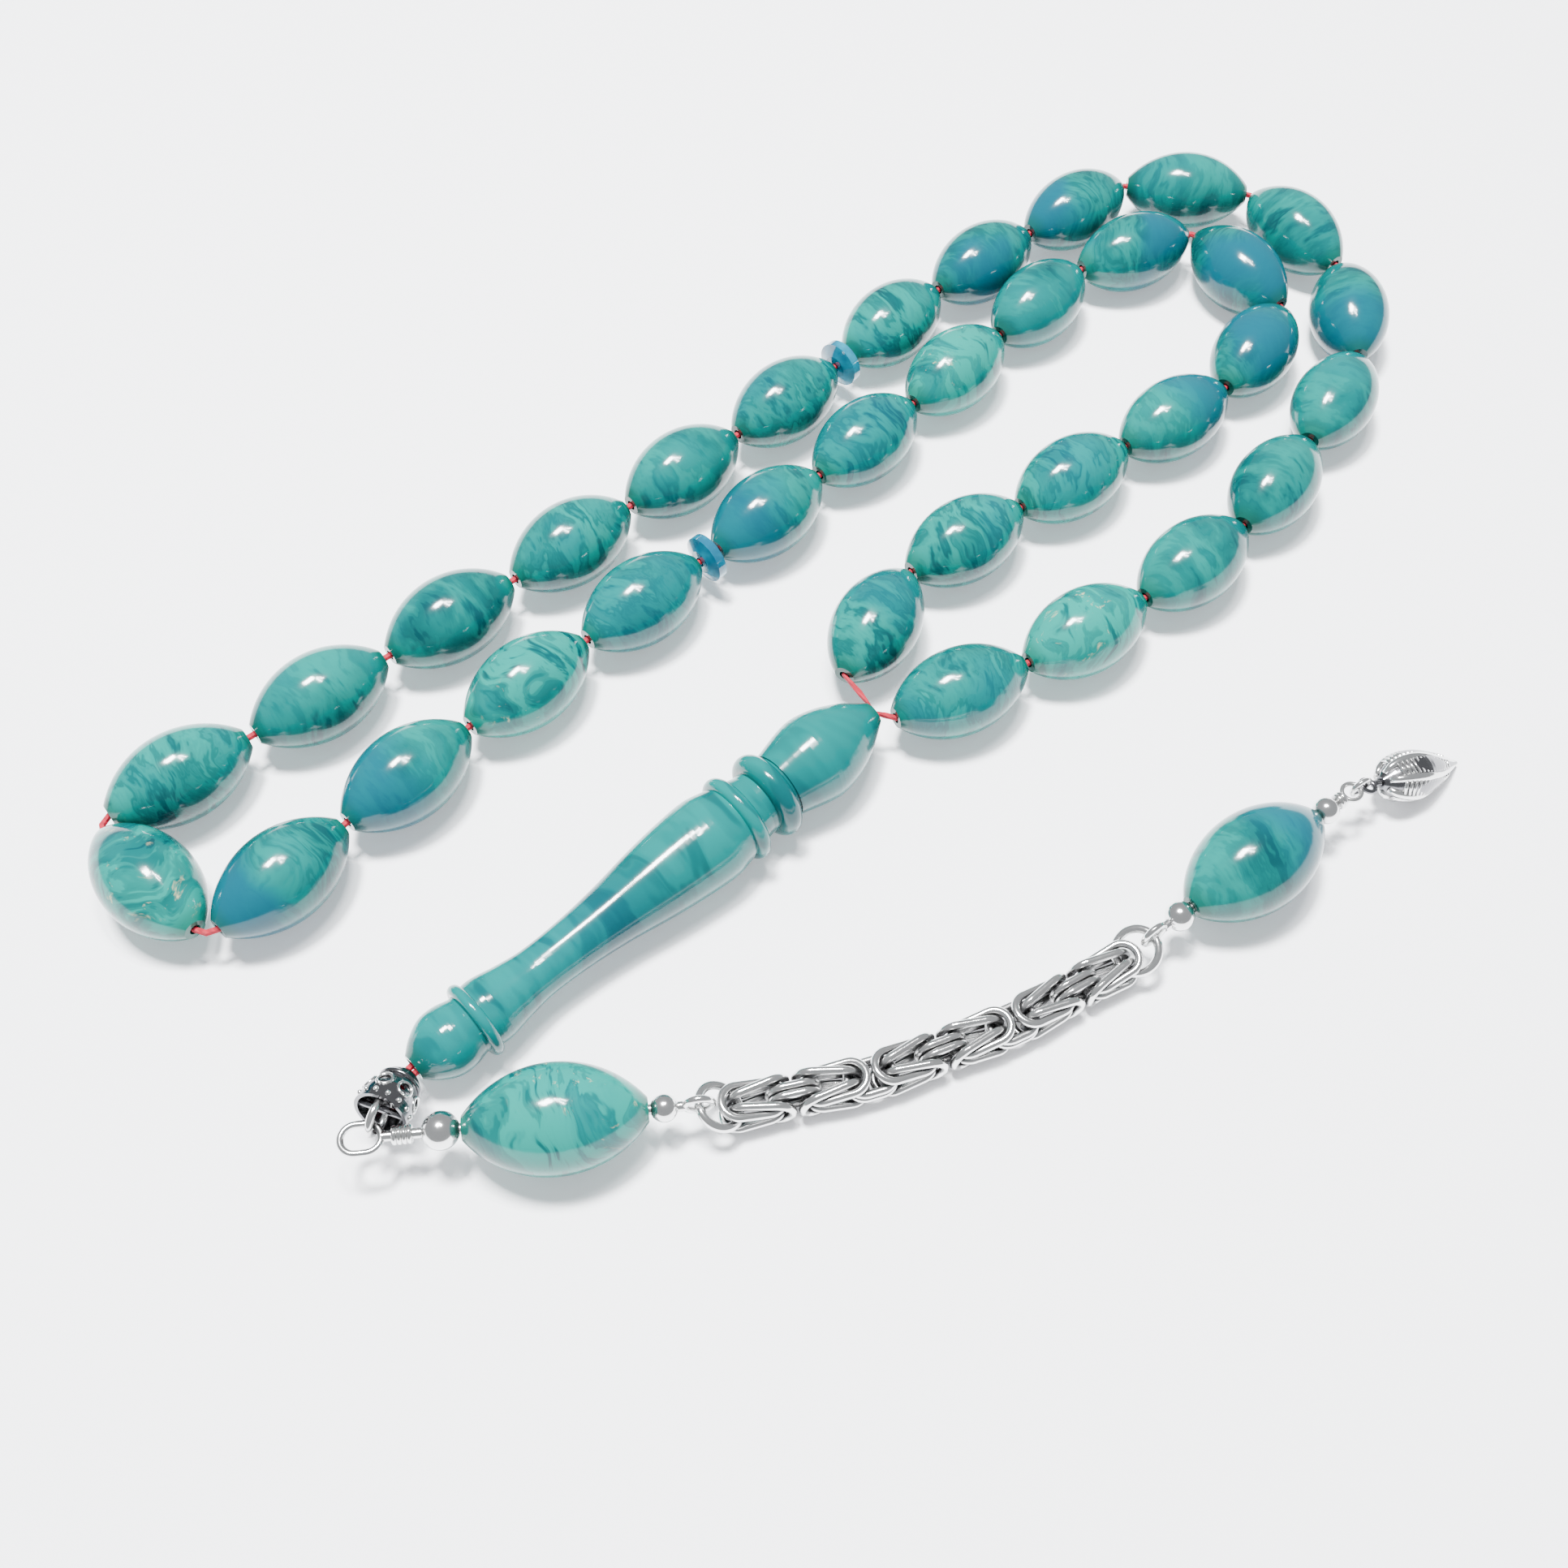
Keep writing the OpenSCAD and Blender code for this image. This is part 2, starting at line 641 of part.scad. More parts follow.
ball(tassel_2_at, pin_2_heading, -pin_dip, ball_offset(ball_d[3]), ball_d[3]);  // ball_4
jump_ring_3();
finial();
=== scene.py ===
"""Prayer beads: turquoise resin beads on a red thread, with a turned leader and a silver tassel."""

from __future__ import annotations

import json
import logging
import math
import random
from dataclasses import dataclass, field
from enum import Enum
from typing import Any

import bmesh
import bpy
from mathutils import Matrix, Vector

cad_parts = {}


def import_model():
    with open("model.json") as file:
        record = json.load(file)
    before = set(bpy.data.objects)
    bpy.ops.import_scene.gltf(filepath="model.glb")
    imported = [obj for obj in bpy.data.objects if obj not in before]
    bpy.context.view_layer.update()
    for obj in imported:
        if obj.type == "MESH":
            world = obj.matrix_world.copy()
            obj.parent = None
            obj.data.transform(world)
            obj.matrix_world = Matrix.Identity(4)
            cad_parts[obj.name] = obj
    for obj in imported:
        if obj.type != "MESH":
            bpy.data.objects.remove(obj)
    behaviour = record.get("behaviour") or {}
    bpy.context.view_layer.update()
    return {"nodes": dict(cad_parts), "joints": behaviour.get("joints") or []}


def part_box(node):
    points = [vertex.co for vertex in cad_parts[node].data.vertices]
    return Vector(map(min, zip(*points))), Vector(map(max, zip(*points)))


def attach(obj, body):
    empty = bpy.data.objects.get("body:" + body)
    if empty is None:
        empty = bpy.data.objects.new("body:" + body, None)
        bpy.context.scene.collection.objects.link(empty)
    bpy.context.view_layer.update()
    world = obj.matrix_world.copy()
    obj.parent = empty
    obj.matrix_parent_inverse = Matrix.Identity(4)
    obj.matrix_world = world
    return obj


LOG = logging.getLogger("prayer_beads")
MM = 0.001
Colour = tuple[float, float, float]


class Socket:
    """A shader value with Python's arithmetic, each step of which adds a Math node."""

    def __init__(self, maker: "NodeMaker", link: Any) -> None:
        """Wraps a node's output.

        Args:
            maker: The maker of the material that the output belongs to.
            link: The output socket.
        """
        self.maker = maker
        self.link = link

    def _with(self, operation: str, *others: Any) -> "Socket":
        """Adds one Math node.

        Args:
            operation: The Math node's operation.
            others: Its inputs, in order.

        Returns:
            The node's value.
        """
        return self.maker.add("ShaderNodeMath", {"operation": operation}, *others)

    def __add__(self, other: Any) -> "Socket":
        """Returns the sum."""
        return self._with("ADD", self, other)

    __radd__ = __add__

    def __mul__(self, other: Any) -> "Socket":
        """Returns the product."""
        return self._with("MULTIPLY", self, other)

    __rmul__ = __mul__

    def __sub__(self, other: Any) -> "Socket":
        """Returns the difference."""
        return self._with("SUBTRACT", self, other)

    def __rsub__(self, other: Any) -> "Socket":
        """Returns the reflected difference."""
        return self._with("SUBTRACT", other, self)

    def size(self) -> "Socket":
        """Returns the value without its sign."""
        return self._with("ABSOLUTE", self)

    def sine(self) -> "Socket":
        """Returns the sine of the value."""
        return self._with("SINE", self)

    def step(self, low: float, high: float) -> "Socket":
        """Rises smoothly from 0 to 1.

        Args:
            low: The value at which it leaves 0.
            high: The value at which it reaches 1.

        Returns:
            The mask.
        """
        return self.maker.add(
            "ShaderNodeMapRange", {"interpolation_type": "SMOOTHSTEP"}, self, low, high, 0.0, 1.0
        )


class NodeMaker:
    """Adds nodes to one material."""

    def __init__(self, name: str) -> None:
        """Makes an empty node material.

        Args:
            name: The material's name.
        """
        self.material = bpy.data.materials.new(name)
        self.material.use_nodes = True
        self.tree = self.material.node_tree
        self.shader = self.tree.nodes["Principled BSDF"]

    def add(
        self, kind: str, settings: dict[str, Any], *values: Any, output: Any = 0, **named: Any
    ) -> Socket:
        """Adds a node, with its settings before its sockets.

        Args:
            kind: The node's type.
            settings: Its properties.
            values: Its first inputs in order, as numbers or links.
            output: The output that is wanted, as a name or a number.
            named: Other inputs, with _ for a space in their names.

        Returns:
            The chosen output.
        """
        node = self.tree.nodes.new(kind)
        for key, value in settings.items():
            setattr(node, key, value)
        for place, value in enumerate(values):
            self.put(node.inputs[place], value)
        for key, value in named.items():
            self.put(node.inputs[key.replace("_", " ")], value)
        return Socket(self, node.outputs[output])

    def put(self, target: Any, value: Any) -> None:
        """Sets or links one input.

        Args:
            target: The input socket.
            value: A number, a colour or a Socket.
        """
        if isinstance(value, Socket):
            self.tree.links.new(value.link, target)
        else:
            target.default_value = value

    def blend(self, share: Any, low: Any, high: Any, how: str = "MIX") -> Socket:
        """Mixes two colours.

        Args:
            share: How much of the second colour shows.
            low: The first colour, as a triple or a Socket.
            high: The second colour.
            how: The Mix node's blend type.

        Returns:
            The mixed colour.
        """
        node = self.tree.nodes.new("ShaderNodeMix")
        node.data_type = "RGBA"
        node.blend_type = how
        self.put(node.inputs[0], share)
        for place, value in ((6, low), (7, high)):
            self.put(node.inputs[place], value if isinstance(value, Socket) else (*value, 1.0))
        return Socket(self, node.outputs[2])

    def local(self, centre: Vector, turn: tuple[float, float, float], unit: float) -> Socket:
        """Object coordinates, centred and turned onto a piece.

        Args:
            centre: The piece's centre.
            turn: Its rotation.
            unit: The length that becomes 1.

        Returns:
            The coordinates.
        """
        place = self.add("ShaderNodeTexCoord", {}, output="Object")
        return self.add(
            "ShaderNodeMapping",
            {"vector_type": "TEXTURE"},
            place,
            Location=tuple(centre),
            Rotation=turn,
            Scale=(unit, unit, unit),
        )

    def noise(self, where: Socket, scale: float, detail: float, rough: float = 0.5) -> Socket:
        """Adds a cloud.

        Args:
            where: The coordinates.
            scale: How fine the cloud is.
            detail: How many finer clouds it holds.
            rough: How strong the finer clouds are.

        Returns:
            A value from 0 to 1.
        """
        return self.add(
            "ShaderNodeTexNoise", {}, Vector=where, Scale=scale, Detail=detail, Roughness=rough
        )

    def bump(self, height: Socket, strength: float, distance: float) -> None:
        """Feeds the shader's normal from a height.

        Args:
            height: The height.
            strength: The bump's strength.
            distance: The height that 1 stands for, in metres.
        """
        normal = self.add(
            "ShaderNodeBump", {}, Strength=strength, Distance=distance, Height=height
        )
        self.put(self.shader.inputs["Normal"], normal)


class Swirl(Enum):
    """How a bead's colours lie."""

    FLOW = "flow"
    SPLIT = "split"
    MOTTLED = "mottled"
    DEEP = "deep"
    PLAIN = "plain"


@dataclass(frozen=True)
class ResinFinish:
    """Polished resin with swirled colours."""

    swirl: Swirl = Swirl.FLOW
    seed: float = 0.0
    lean: float = 0.5
    light: Colour = (0.0, 0.22, 0.18)
    middle: Colour = (0.0, 0.115, 0.11)
    dark: Colour = (0.0, 0.035, 0.042)
    blue: Colour = (0.0, 0.07, 0.105)
    bore_end_shade: Colour = (0.005, 0.055, 0.03)
    speck: Colour = (0.5, 0.47, 0.26)

    def weights(self) -> tuple[float, float, float, float, float]:
        """Returns the warp, the bands' strength, the light's, the blue's and the specks'."""
        return {
            Swirl.FLOW: (0.45, 0.6, 0.45, 0.35, 0.0),
            Swirl.SPLIT: (0.3, 0.3, 0.35, 0.8, 0.0),
            Swirl.MOTTLED: (0.9, 0.4, 0.85, 0.1, 0.7),
            Swirl.DEEP: (0.6, 0.45, 0.15, 0.95, 0.0),
            Swirl.PLAIN: (0.35, 0.25, 0.35, 0.15, 0.0),
        }[self.swirl]

    def make(
        self, name: str, centre: Vector, turn: tuple[float, float, float], unit: float,
        ends: tuple[float, float] = (0.4, 0.5),
    ) -> bpy.types.Material:
        """Makes the material for one bead.

        Args:
            name: The material's name.
            centre: The bead's centre.
            turn: The rotation that lays X along its bore.
            unit: Its length.
            ends: Where the painted shade at its bore ends, a darker olive tint where beads meet,
                begins and ends.

        Returns:
            The material.
        """
        warp, bands, light, blue, specks = self.weights()
        maker = NodeMaker(name)
        local = maker.local(centre, turn, unit)
        shifted = maker.add(
            "ShaderNodeVectorMath", {"operation": "ADD"}, local, (self.seed, self.seed * 0.37, 3.1)
        )
        drift = maker.add(
            "ShaderNodeTexNoise", {}, Vector=shifted, Scale=1.5, Detail=2.0, output="Color"
        )
        moved = maker.add(
            "ShaderNodeVectorMath", {"operation": "MULTIPLY_ADD"}, drift, (warp,) * 3, shifted
        )
        leaning = maker.add(
            "ShaderNodeMapping",
            {},
            moved,
            Rotation=(0.3, self.lean * 0.6, self.lean),
            Scale=(2.6, 0.7, 0.9),
        )
        cloud = maker.noise(moved, 1.9, 3.0)
        sheet = maker.noise(leaning, 1.7, 4.0, 0.6)
        lines = (sheet * 46.0).sine() * 0.5 + 0.5
        broad = (sheet * 17.0).sine() * 0.5 + 0.5
        tone = maker.blend(cloud.step(0.3, 0.66), self.dark, self.middle)
        tone = maker.blend(broad.step(0.35, 0.95) * light, tone, self.light)
        tone = maker.blend(lines.step(0.45, 1.0) * bands * 0.5, tone, self.light)
        tone = maker.blend((1.0 - lines).step(0.72, 1.0) * bands * 0.8, tone, self.dark)
        along = maker.add("ShaderNodeSeparateXYZ", {}, local, output="X")
        patch = maker.noise(shifted, 1.3, 2.0).step(0.44, 0.62)
        if self.swirl is Swirl.SPLIT:
            patch = (along + cloud * 0.5).step(0.1, 0.45)
        tone = maker.blend(patch * blue, tone, self.blue)
        if specks:
            grain = maker.noise(moved, 9.0, 3.0, 0.7).step(0.6, 0.74)
            where = maker.noise(shifted, 1.6, 1.0).step(0.48, 0.62)
            tone = maker.blend(grain * where * specks, tone, self.speck)
        # Darker olive toward the bore ends, where neighbouring beads meet: painted shade.
        tone = maker.blend(along.size().step(*ends) * 0.55, tone, self.bore_end_shade)
        maker.put(maker.shader.inputs["Base Color"], tone)
        smear = maker.noise(local, 14.0, 3.0)
        maker.put(maker.shader.inputs["Roughness"], smear * 0.08 + 0.09)
        maker.bump(smear, 0.05, 0.0001)
        maker.shader.inputs["Coat Weight"].default_value = 0.12
        maker.shader.inputs["Specular IOR Level"].default_value = 0.32
        maker.shader.inputs["Coat Roughness"].default_value = 0.03
        maker.shader.inputs["IOR"].default_value = 1.53
        return maker.material


@dataclass(frozen=True)
class SilverFinish:
    """Polished silver, darkened where ambient occlusion finds recesses: painted shade, together with
    the oxide that the silver holds in its hollows.
    """

    name: str = "polished_silver"
    bright: Colour = (0.88, 0.88, 0.87)
    shade_black: Colour = (0.03, 0.03, 0.035)
    reach: float = 0.0012
    shade_and_oxide_strength: float = 0.9

    def make(self) -> bpy.types.Material:
        """Returns the material."""
        maker = NodeMaker(self.name)
        place = maker.add("ShaderNodeTexCoord", {}, output="Object")
        # Ambient occlusion picks out the recesses, which are darkened below: painted shade, together
        # with the silver's oxide in its hollows.
        open_share = maker.add(
            "ShaderNodeAmbientOcclusion", {"samples": 8}, Distance=self.reach, output="AO"
        )
        hidden = (1.0 - open_share).step(0.14, 0.46)
        shade_and_oxide_patches = maker.noise(place, 900.0, 3.0)
        shade_and_oxide = hidden * (shade_and_oxide_patches * 0.4 + 0.75) * self.shade_and_oxide_strength
        maker.put(
            maker.shader.inputs["Base Color"], maker.blend(shade_and_oxide, self.bright, self.shade_black)
        )
        maker.shader.inputs["Metallic"].default_value = 1.0
        scuff = maker.noise(place, 3500.0, 4.0)
        maker.put(maker.shader.inputs["Roughness"], scuff * 0.12 + shade_and_oxide * 0.35 + 0.08)
        maker.bump(scuff, 0.08, 0.00003)
        return maker.material


@dataclass(frozen=True)
class ThreadFinish:
    """Red thread of fine twisted fibres."""

    red: Colour = (0.4, 0.0, 0.02)
    deep: Colour = (0.16, 0.0, 0.01)

    def make(self) -> bpy.types.Material:
        """Returns the material."""
        maker = NodeMaker("red_thread")
        place = maker.add("ShaderNodeTexCoord", {}, output="Object")
        fibre = maker.noise(place, 6000.0, 3.0)
        twist = maker.add(
            "ShaderNodeTexWave", {"bands_direction": "DIAGONAL"}, place,
            Scale=900.0, Distortion=2.0, output="Fac",
        )
        maker.put(maker.shader.inputs["Base Color"], maker.blend(twist * fibre, self.red, self.deep))
        maker.shader.inputs["Roughness"].default_value = 0.75
        maker.bump(twist, 0.5, 0.00008)
        return maker.material


@dataclass(frozen=True)
class ClearFinish:
    """Clear cyan resin, clouded with patches of deeper cyan."""

    cyan: Colour = (0.0, 0.24, 0.36)
    deep: Colour = (0.0, 0.11, 0.2)

    def make(self) -> bpy.types.Material:
        """Returns the material."""
        maker = NodeMaker("clear_cyan")
        place = maker.add("ShaderNodeTexCoord", {}, output="Object")
        cloud = maker.noise(place, 420.0, 2.0)
        maker.put(
            maker.shader.inputs["Base Color"],
            maker.blend(cloud.step(0.35, 0.65), self.cyan, self.deep),
        )
        maker.put(maker.shader.inputs["Roughness"], cloud * 0.1 + 0.04)
        maker.shader.inputs["Transmission Weight"].default_value = 0.3
        maker.shader.inputs["Coat Weight"].default_value = 0.6
        return maker.material


def shaft_turn(axis: Vector) -> tuple[float, float, float]:
    """The rotation that lays X along an axis.

    Args:
        axis: The axis.

    Returns:
        The Euler angles.
    """
    return (0.0, -math.asin(max(-1.0, min(1.0, axis.z))), math.atan2(axis.y, axis.x))


def shaft_matrix(place: Vector, axis: Vector) -> Matrix:
    """The matrix that lays X along an axis.

    Args:
        place: Where X starts.
        axis: The axis.

    Returns:
        The matrix.
    """
    turn = shaft_turn(axis)
    return (
        Matrix.Translation(place)
        @ Matrix.Rotation(turn[2], 4, "Z")
        @ Matrix.Rotation(turn[1], 4, "Y")
    )


def finished(
    name: str, mesh_bm: bmesh.types.BMesh, placing: Matrix, material: bpy.types.Material
) -> bpy.types.Object:
    """Turns a bmesh into a smooth piece with its place in its mesh.

    Args:
        name: The piece's name.
        mesh_bm: The shape, which is freed.
        placing: Where it goes.
        material: Its finish.

    Returns:
        The piece.
    """
    bmesh.ops.remove_doubles(mesh_bm, verts=mesh_bm.verts, dist=1e-7)
    bmesh.ops.transform(mesh_bm, matrix=placing, verts=mesh_bm.verts)
    bmesh.ops.recalc_face_normals(mesh_bm, faces=mesh_bm.faces)
    mesh = bpy.data.meshes.new(name)
    mesh_bm.to_mesh(mesh)
    mesh_bm.free()
    mesh.shade_smooth()
    mesh.materials.append(material)
    piece = bpy.data.objects.new(name, mesh)
    bpy.context.scene.collection.objects.link(piece)
    return piece


def dress(node: bpy.types.Object, material: bpy.types.Material) -> None:
    """Gives a CAD node a finish.

    Args:
        node: The node's object.
        material: The finish.
    """
    node.data.materials.clear()
    node.data.materials.append(material)


@dataclass
class Strand:
    """The strand's beads and stops."""

    joints: dict[str, dict[str, Any]]
    nodes: dict[str, bpy.types.Object]
    bead_length: float = 13.5 * MM
    tassel_length: float = 14.6 * MM
    flow: tuple[int, ...] = (2, 10, 12, 17, 20, 22, 23, 33, 1, 3)
    split: tuple[int, ...] = (11, 14, 28, 4)
    mottled: tuple[int, ...] = (13, 16, 32, 9)
    deep: tuple[int, ...] = (5, 6, 7, 24, 25, 15)

    def swirl_of(self, number: int) -> Swirl:
        """Returns how the colours lie in a bead, by its number."""
        for group, swirl in (
            (self.flow, Swirl.FLOW),
            (self.split, Swirl.SPLIT),
            (self.mottled, Swirl.MOTTLED),
            (self.deep, Swirl.DEEP),
        ):
            if number in group:
                return swirl
        return Swirl.PLAIN

    def dress_bead(self, name: str, swirl: Swirl, length: float, chance: random.Random) -> None:
        """Gives one bead its own swirls.

        Args:
            name: The bead's node.
            swirl: How its colours lie.
            length: Its length.
            chance: The seeded source of its differences.
        """
        joint = self.joints[f"{name}_spin"]
        finish = ResinFinish(swirl, chance.uniform(0.0, 40.0), chance.uniform(-1.1, 1.1))
        turn = shaft_turn(Vector(joint["axis"]))
        material = finish.make(f"resin_{name}", Vector(joint["pos_m"]), turn, length)
        dress(self.nodes[name], material)
        LOG.info("%s: %s", name, swirl.value)

    def build(self) -> None:
        """Dresses every bead and stop."""
        chance = random.Random(33)
        for number in range(1, 34):
            name = f"bead_{number:02d}"
            self.dress_bead(name, self.swirl_of(number), self.bead_length, chance)
        self.dress_bead("tassel_bead_1", Swirl.MOTTLED, self.tassel_length, chance)
        self.dress_bead("tassel_bead_2", Swirl.SPLIT, self.tassel_length, chance)
        clear = ClearFinish().make()
        for name in ("stop_1", "stop_2"):
            dress(self.nodes[name], clear)


@dataclass
class Leader:
    """The long turned bead, and the thread and knot that run through it."""

    nodes: dict[str, bpy.types.Object]
    heading: float = math.radians(222.0)
    length: float = 51.0 * MM

    def build(self) -> None:
        """Dresses the leader, the thread and the knot."""
        low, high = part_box("imame")
        finish = ResinFinish(Swirl.FLOW, 7.3, 0.9, light=(0.0, 0.18, 0.165))
        turn = (0.0, 0.0, self.heading)
        # The darker olive band at each end of the imame is painted shade.
        material = finish.make("resin_imame", (low + high) / 2, turn, self.length, (0.47, 0.5))
        dress(self.nodes["imame"], material)
        thread = ThreadFinish().make()
        for name in ("cord", "knot"):
            dress(self.nodes[name], thread)
        LOG.info("imame, cord and knot dressed")


@dataclass
class Studio:
    """The camera, the table top and the lights."""

    camera_at: Vector = field(default_factory=lambda: Vector((-2.0, -107.5, 131.0)) * MM)
    camera_tip: float = math.radians(33.1)
    lens: float = 39.1
    floor_colour: Colour = (0.93, 0.94, 0.97)
    floor_glow: float = 0.45

    def place_camera(self) -> None:
        """Makes the camera, which looks down on the table."""
        data = bpy.data.cameras.new("camera")
        data.lens = self.lens
        data.sensor_width = 36.0
        data.clip_start = 0.005
        data.clip_end = 10.0
        camera = bpy.data.objects.new("camera", data)
        camera.location = self.camera_at
        camera.rotation_euler = (self.camera_tip, 0.0, 0.0)
        bpy.context.scene.collection.objects.link(camera)
        bpy.context.scene.camera = camera

    def lay_floor(self) -> None:
        """Makes the table top."""
        shape = bmesh.new()
        bmesh.ops.create_grid(shape, x_segments=1, y_segments=1, size=3.0)
        maker = NodeMaker("table_top")
        place = maker.add("ShaderNodeTexCoord", {}, output="Object")
        grain = maker.noise(place, 700.0, 2.0)
        shade = tuple(part * 0.985 for part in self.floor_colour)
        maker.put(maker.shader.inputs["Base Color"], maker.blend(grain, self.floor_colour, shade))
        maker.shader.inputs["Roughness"].default_value = 0.7
        maker.shader.inputs["Emission Color"].default_value = (0.96, 0.97, 1.0, 1.0)
        maker.shader.inputs["Emission Strength"].default_value = self.floor_glow
        floor = finished("table_top", shape, Matrix.Identity(4), maker.material)

    def hang_light(
        self, name: str, place: Vector, width: float, depth: float, power: float, tint: Colour
    ) -> None:
        """Hangs one area light that points at the middle of the table.

        Args:
            name: The light's name.
            place: Where it hangs.
            width: Its width.
            depth: Its depth.
            power: Its power in watts.
            tint: Its colour.
        """
        data = bpy.data.lights.new(name, "AREA")
        data.shape = "RECTANGLE"
        data.size = width
        data.size_y = depth
        data.energy = power
        data.color = tint
        light = bpy.data.objects.new(name, data)
        light.location = place
        light.rotation_euler = (-place).to_track_quat("-Z", "Y").to_euler()
        bpy.context.scene.collection.objects.link(light)

    def light_up(self) -> None:
        """Makes the pale surroundings, the key light and the two rows of lamps."""
        world = bpy.data.worlds.new("pale_room")
        world.use_nodes = True
        background = world.node_tree.nodes["Background"]
        background.inputs["Color"].default_value = (0.93, 0.96, 1.0, 1.0)
        background.inputs["Strength"].default_value = 0.45
        bpy.context.scene.world = world
        self.hang_light("key", Vector((-0.12, 0.1, 0.75)), 0.16, 0.12, 22.0, (1.0, 1.0, 1.0))
        for row in (-1, 1):
            place = Vector((0.02, 0.04 + row * 0.016, 0.42))
            self.hang_light(f"lamp_row_{row + 2}", place, 0.1, 0.006, 1.1, (1.0, 1.0, 1.0))

    def build(self) -> None:
        """Makes the whole studio."""
        self.place_camera()
        self.lay_floor()
        self.light_up()


@dataclass
class Silverwork:
    """The tassel's metal: cap, rings, pins, balls, chain and finial."""

    nodes: dict[str, bpy.types.Object]
    joints: dict[str, dict[str, Any]]
    bud_heading: float = math.radians(26.0)
    bud_dip: float = math.radians(18.0)
    bud_from_joint: float = 2.3 * MM
    bud_length: float = 10.2 * MM
    bud_radius: float = 1.92 * MM
    ribs: int = 6
    teeth: int = 15
    bud_twist: float = 0.6
    cap_to_joint: float = 0.25 * MM
    cap_loops: int = 7
    loop_wire: float = 0.14 * MM
    cap_grains: int = 14
    grain_radius: float = 0.24 * MM

    def bud_shape(self, share: float) -> float:
        """Returns the bud's radius at a share of its length, as a part of its greatest."""
        rise = min(1.0, share / 0.34)
        fall = max(0.0, (share - 0.34) / 0.66)
        return math.sqrt(max(0.0, 1 - (1 - rise) ** 2)) * (1 - fall**1.5) + 0.03

    def rib(self, number: int) -> list[tuple[Vector, float]]:
        """The line of one petal rib.

        Args:
            number: Which rib.

        Returns:
            Its points and thicknesses.
        """
        points = []
        for step in range(15):
            share = 0.03 + 0.95 * step / 14
            angle = math.tau * number / self.ribs + self.bud_twist * share
            radius = self.bud_shape(share) * self.bud_radius
            across = Vector((0.0, math.cos(angle), math.sin(angle))) * radius
            thick = 0.42 * self.bud_shape(share) * MM + 0.06 * MM
            points.append((Vector((share * self.bud_length, 0.0, 0.0)) + across, thick))
        return points

    def swept(self, line: list[tuple[Vector, float]], sides: int) -> bmesh.types.BMesh:
        """Joins rings along a line into a closed rib.

        Args:
            line: Points and thicknesses.
            sides: The sides of each ring.

        Returns:
            The shape.
        """
        made = bmesh.new()
        rings = []
        for step, (point, thick) in enumerate(line):
            ahead = line[min(step + 1, len(line) - 1)][0] - line[max(step - 1, 0)][0]
            turn = ahead.to_track_quat("Z", "Y").to_matrix().to_4x4()
            ring = bmesh.ops.create_circle(
                made, segments=sides, radius=thick, matrix=Matrix.Translation(point) @ turn,
                cap_ends=step in (0, len(line) - 1),
            )
            rings.append(ring["verts"])
        for near, far in zip(rings, rings[1:]):
            near_edges = [e for e in {e for v in near for e in v.link_edges}
                          if all(v in near for v in e.verts)]
            far_edges = [e for e in {e for v in far for e in v.link_edges}
                         if all(v in far for v in e.verts)]
            bmesh.ops.bridge_loops(made, edges=near_edges + far_edges)
        return made

    def build_finial(self, bright: bpy.types.Material, dark: bpy.types.Material) -> None:
        """Adds petal ribs and serrations over the finial's bud.

        Args:
            bright: The ribs' finish.
            dark: The bud's finish between them, a dark silver: painted shade in the grooves,
                together with oxide.
        """
        joint = self.joints["finial_swing"]
        axis = Vector((
            math.cos(self.bud_dip) * math.cos(self.bud_heading),
            math.cos(self.bud_dip) * math.sin(self.bud_heading),
            -math.sin(self.bud_dip),
        ))
        start = Vector(joint["pos_m"]) + axis * self.bud_from_joint
        placing = shaft_matrix(start, axis)
        dress(self.nodes["finial"], dark)
        for number in range(self.ribs):
            piece = finished(
                f"finial_rib_{number + 1}", self.swept(self.rib(number), 8), placing, bright
            )
            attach(piece, "finial")
        self.build_teeth(placing, bright)
        LOG.info("finial: %d ribs", self.ribs)

    def build_teeth(self, placing: Matrix, bright: bpy.types.Material) -> None:
        """Adds the rows of small teeth in the grooves between the ribs.

        Args:
            placing: The bud's place.
            bright: Their finish.
        """
        teeth = bmesh.new()
        for row in range(self.ribs):
            for step in range(self.teeth):
                share = 0.14 + 0.66 * step / self.teeth
                angle = math.tau * (row + 0.5) / self.ribs + self.bud_twist * share
                radius = self.bud_shape(share) * self.bud_radius
                spot = Vector((
                    share * self.bud_length, radius * math.cos(angle), radius * math.sin(angle)
                ))
                lie = Matrix.Translation(spot) @ Matrix.Rotation(angle, 4, "X")
                width = 1.5 * self.bud_shape(share) * MM
                bmesh.ops.create_cube(
                    teeth, size=1.0, matrix=lie @ Matrix.Diagonal((0.2 * MM, 0.5 * MM, width, 1.0))
                )
        piece = finished("finial_teeth", teeth, placing, bright)
        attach(piece, "finial")

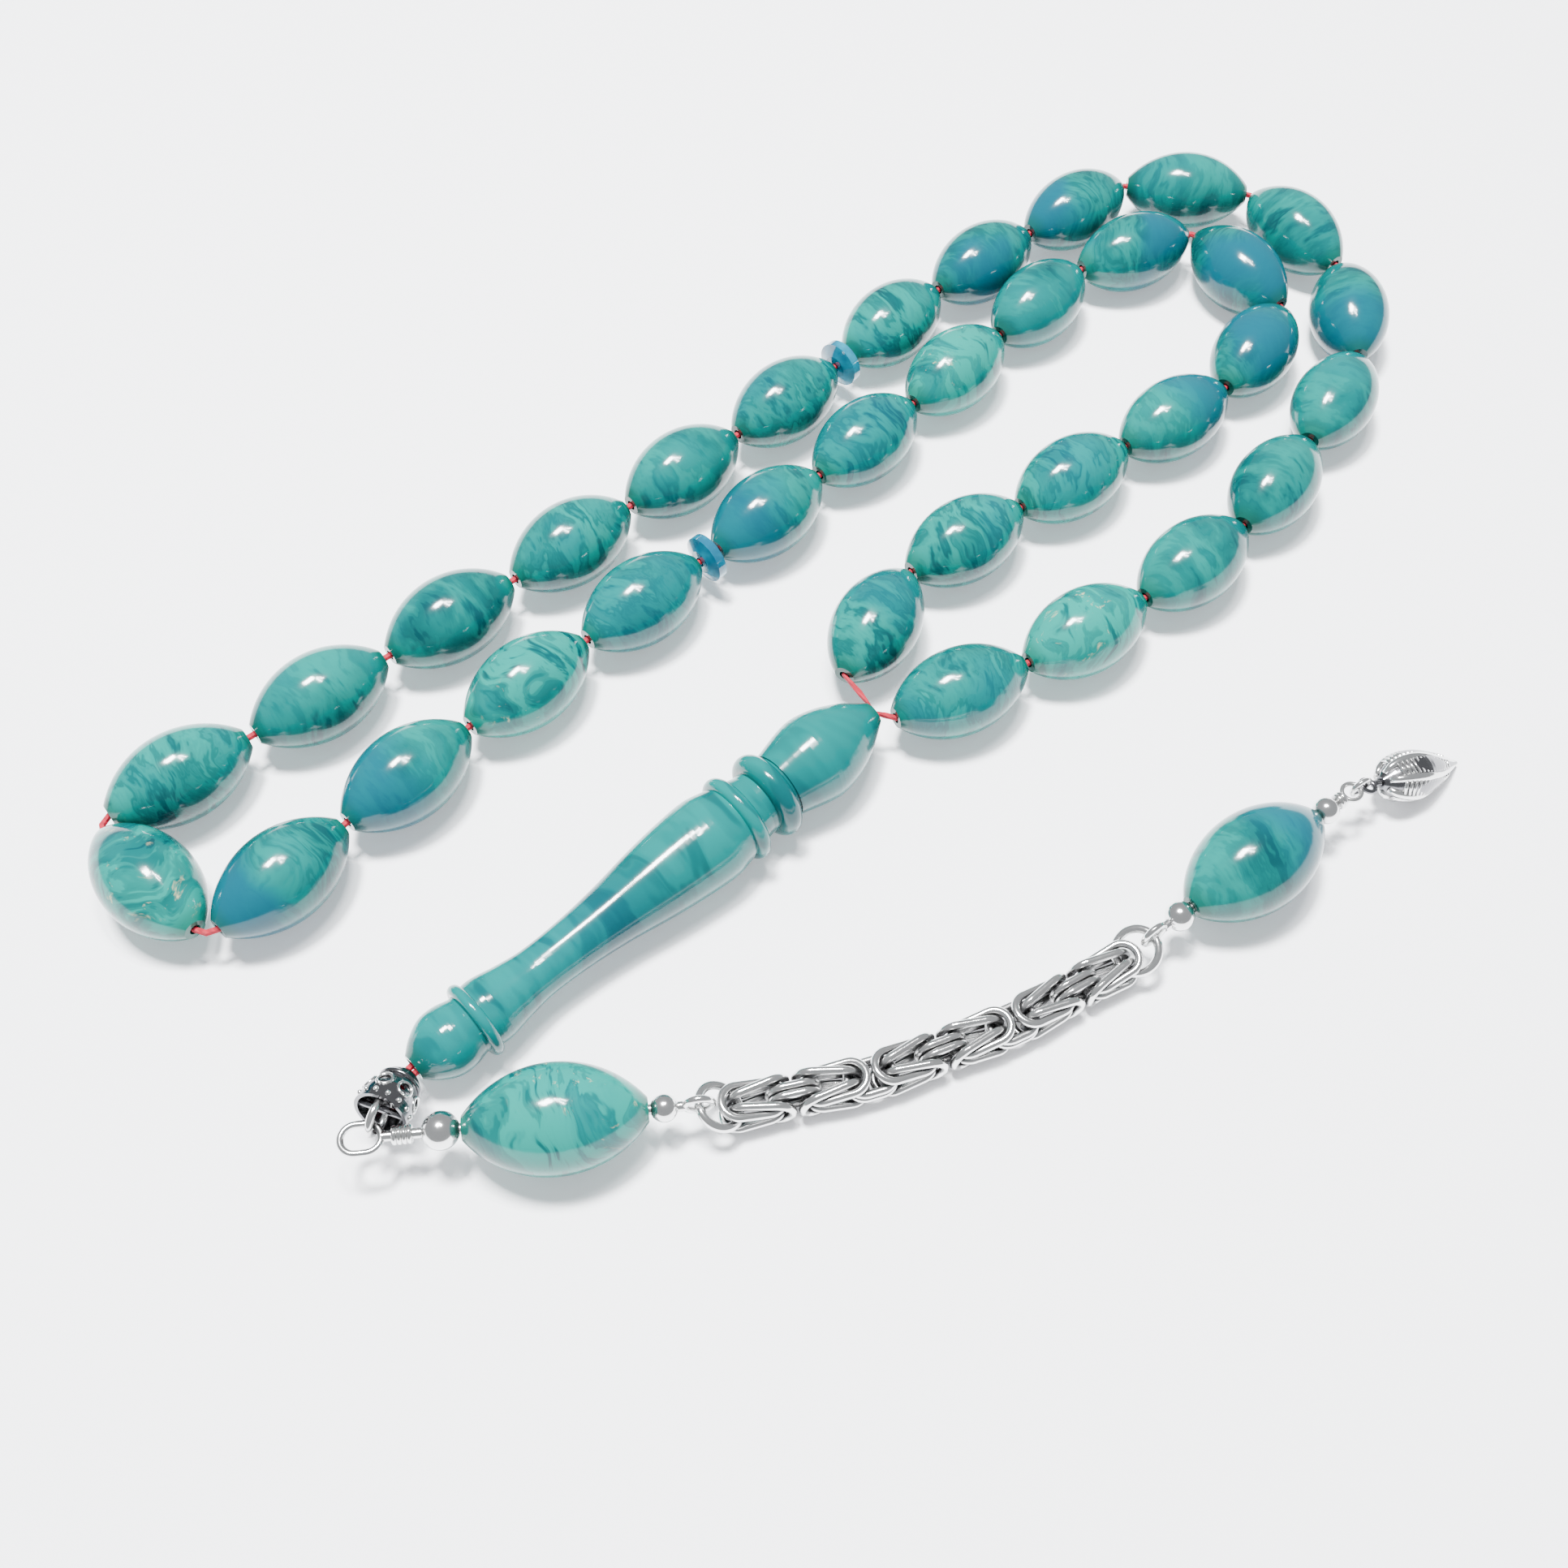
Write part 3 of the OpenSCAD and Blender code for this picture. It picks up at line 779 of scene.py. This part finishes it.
    def build_cap(self, bright: bpy.types.Material) -> None:
        """Adds the row of scroll loops and the row of grains round the cap.

        Args:
            bright: Their finish.
        """
        hole = Vector(self.joints["cap_swing"]["pos_m"])
        axis = (Vector(self.joints["cap_ring_swing"]["pos_m"]) - hole).normalized()
        placing = shaft_matrix(hole - axis * self.cap_to_joint, axis)
        for number in range(self.cap_loops):
            line = []
            for step in range(17):
                a = math.tau * step / 16
                along = 2.35 + 0.62 * math.cos(a)
                radius = 2.12 + 0.12 * math.cos(a)
                round_at = math.tau * number / self.cap_loops + 0.3 * math.sin(a)
                line.append((
                    Vector((along, radius * math.cos(round_at), radius * math.sin(round_at))) * MM,
                    self.loop_wire,
                ))
            piece = finished(f"cap_loop_{number + 1}", self.swept(line, 8), placing, bright)
            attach(piece, "cap")
        grains = bmesh.new()
        for number in range(self.cap_grains):
            a = math.tau * number / self.cap_grains
            spot = Vector((3.6, 2.26 * math.cos(a), 2.26 * math.sin(a))) * MM
            bmesh.ops.create_icosphere(
                grains, subdivisions=2, radius=self.grain_radius, matrix=Matrix.Translation(spot)
            )
        piece = finished("cap_grains", grains, placing, bright)
        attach(piece, "cap")
        LOG.info("cap: %d loops and %d grains", self.cap_loops, self.cap_grains)

    def build(self) -> None:
        """Dresses the silver and adds its ornament."""
        silver = SilverFinish().make()
        plain = SilverFinish("plain_silver", shade_and_oxide_strength=0.35).make()
        # A dark silver for the cap's body and the finial's bud, under the bright loops and ribs:
        # painted shade in the recesses, together with oxide.
        dark_shaded_silver = SilverFinish("shaded_oxidised_silver", bright=(0.22, 0.22, 0.23)).make()
        for name, node in self.nodes.items():
            if name.startswith(("chain", "cap")):
                dress(node, silver)
            elif name.startswith(("pin", "ball", "jump")):
                dress(node, plain)
        # The cap's body is dark silver behind its loops: painted shade, together with oxide.
        dress(self.nodes["cap"], dark_shaded_silver)
        self.build_cap(plain)
        self.build_finial(plain, dark_shaded_silver)


def main() -> None:
    """Builds the beads, the leader, the tassel and the studio."""
    logging.basicConfig(level=logging.INFO, format="%(message)s")
    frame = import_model()
    joints = {joint["name"]: joint for joint in frame["joints"]}
    Studio().build()
    Strand(joints, frame["nodes"]).build()
    Leader(frame["nodes"]).build()
    Silverwork(frame["nodes"], joints).build()


if __name__ == "__main__":
    main()
